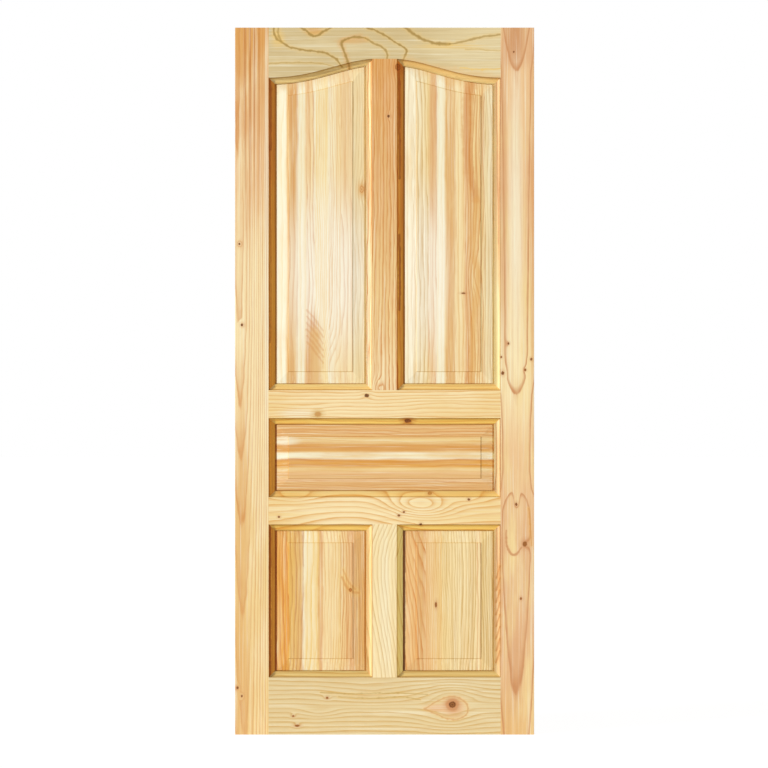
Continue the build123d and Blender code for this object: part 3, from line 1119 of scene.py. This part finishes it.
# lower right panel: fine even lines, with one leaning stave at the left
lowerRightPanel = {
    "grain": "up",
    "darkTo": 478,
    "across": (450, 750),
    "staves": [
        (450, "tan", "tan", "orange", 10, 10, 0.9),
        (534, "peach", "straw", "honey", 5, 0, 1.0),
        (580, "straw", "cream", "sand", 6, 0, 0.8),
        (626, "cream", "cream", "sand", 9, 0, 0.85),
        (676, "cream", "cream", "orange", 9, 0, 0.7),
        (690, "straw", "cream", "sand", 8, 0, 1.0),
    ],
    "knots": [{"at": (563, 363), "size": 3.0, "stretch": 2.5, "core": "brown"}],
    "swirls": [{"at": (490, 560), "size": (130, 46), "shift": 26}],
    # the umber stroke is painted shadow in the channel at the panel's left side
    "strokes": [
        {"line": [(475, 590), (474, 160)], "tone": "umber", "width": 3.6, "amount": 0.7, "halo": 0.0},
    ],
}

woods = {
    "left_stile": (boardWood, leftStile),
    "right_stile": (boardWood, rightStile),
    "top_rail": (boardWood, topRail),
    "lock_rail": (boardWood, lockRail),
    "middle_rail": (boardWood, middleRail),
    "bottom_rail": (boardWood, bottomRail),
    "upper_muntin": (boardWood, upperMuntin),
    "lower_muntin": (boardWood, lowerMuntin),
    "upper_left_panel": (staveWood, upperLeftPanel),
    "upper_right_panel": (staveWood, upperRightPanel),
    "middle_panel": (staveWood, middlePanel),
    "lower_left_panel": (staveWood, lowerLeftPanel),
    "lower_right_panel": (staveWood, lowerRightPanel),
}

for number, (node, (makeWood, look)) in enumerate(woods.items()):
    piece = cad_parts[node]
    words = node.split("_")
    wood = makeWood(words[0] + "".join(word.title() for word in words[1:]) + "Pine", look, number + 1)
    piece.data.materials.clear()
    piece.data.materials.append(wood)
print("pine on", len(woods), "pieces")


# shows the second shader where the share is 1
def blendShaders(tree, share, first, second, output):
    blend = tree.nodes.new("ShaderNodeMixShader")
    plug(tree, blend.inputs[0], share)
    tree.links.new(first, blend.inputs[1])
    tree.links.new(second, blend.inputs[2])
    tree.links.new(blend.outputs[0], tree.nodes[output].inputs["Surface"])


# floor: pale, wide, and a touch brighter to the camera so that it runs out to white
floorLook = {
    "size": 30.0,
    "colour": (0.9, 0.9, 0.9, 1.0),
    "roughness": 0.9,
    "specular": 0.1,
    "whiteShare": 0.85,
    "whiteLevel": 1.1,
}


def studioFloor():
    mesh = bpy.data.meshes.new("studioFloor")
    build = bmesh.new()
    bmesh.ops.create_grid(build, x_segments=1, y_segments=1, size=floorLook["size"])
    build.to_mesh(mesh)
    build.free()
    floor = bpy.data.objects.new("studioFloor", mesh)
    bpy.context.scene.collection.objects.link(floor)
    material, tree = newMaterial("paleFloor")
    shader = tree.nodes["Principled BSDF"]
    shader.inputs["Base Color"].default_value = floorLook["colour"]
    shader.inputs["Roughness"].default_value = floorLook["roughness"]
    shader.inputs["Specular IOR Level"].default_value = floorLook["specular"]
    glow = tree.nodes.new("ShaderNodeEmission")
    glow.inputs["Strength"].default_value = floorLook["whiteLevel"]
    path = tree.nodes.new("ShaderNodeLightPath")
    share = calc(tree, "MULTIPLY", path.outputs["Is Camera Ray"], floorLook["whiteShare"])
    blendShaders(tree, share, shader.outputs[0], glow.outputs[0], "Material Output")
    mesh.materials.append(material)


studioFloor()

# light: soft key from the left and a little above, an even fill from all round
studioLight = {
    "keyShare": 0.46,
    "keyFrom": (-0.83, -0.48, 0.28),
    "keySoftness": 0.16,
    "fill": (1.0, 0.96, 0.9),
    "fillShare": 0.5,
    "backdrop": (1.0, 1.0, 1.0),
}


def studioLamps():
    towards = Vector(studioLight["keyFrom"]).normalized()
    lamp = bpy.data.lights.new("keyLight", "SUN")
    lamp.energy = math.pi * studioLight["keyShare"] / -towards.y
    lamp.angle = studioLight["keySoftness"]
    key = bpy.data.objects.new("keyLight", lamp)
    key.rotation_euler = towards.to_track_quat("Z", "Y").to_euler()
    bpy.context.scene.collection.objects.link(key)

    world = bpy.data.worlds.new("studioWorld")
    bpy.context.scene.world = world
    world.use_nodes = True
    tree = world.node_tree
    fill = tree.nodes["Background"]
    fill.inputs["Color"].default_value = (*studioLight["fill"], 1.0)
    fill.inputs["Strength"].default_value = studioLight["fillShare"]
    white = tree.nodes.new("ShaderNodeBackground")
    white.inputs["Color"].default_value = (*studioLight["backdrop"], 1.0)
    path = tree.nodes.new("ShaderNodeLightPath")
    seen = calc(tree, "MAXIMUM", path.outputs["Is Camera Ray"], path.outputs["Is Transmission Ray"])
    blendShaders(tree, seen, fill.outputs[0], white.outputs[0], "World Output")


studioLamps()
print("floor and light set")

# camera: straight on, long lens, the leaf 707 of the frame's 768 pixels high
cameraView = {
    "distance": 8.0,
    "sensor": 36.0,
    "pixels": 768,
    "leafPixels": 707.0,
    "leafHeight": 1.981,
    "centrePixel": (384.6, 381.1),
    "centre": (0.419, 0.9905),
}


def frontCamera():
    lens = bpy.data.cameras.new("frontCamera")
    camera = bpy.data.objects.new("frontCamera", lens)
    perPixel = cameraView["leafHeight"] / cameraView["leafPixels"]
    seen = perPixel * cameraView["pixels"]
    lens.sensor_width = cameraView["sensor"]
    lens.lens = cameraView["sensor"] * cameraView["distance"] / seen
    x, z = cameraView["centre"]
    pixelX, pixelY = cameraView["centrePixel"]
    half = cameraView["pixels"] / 2
    x += (half - pixelX) * perPixel
    z += (pixelY - half) * perPixel
    frontFace = -leafLook["halfThickness"] / 1000
    camera.location = (x, frontFace - cameraView["distance"], z)
    camera.rotation_euler = (math.pi / 2, 0.0, 0.0)
    bpy.context.scene.collection.objects.link(camera)
    bpy.context.scene.camera = camera


frontCamera()
bpy.context.scene.view_settings.view_transform = "Standard"
print("camera set")
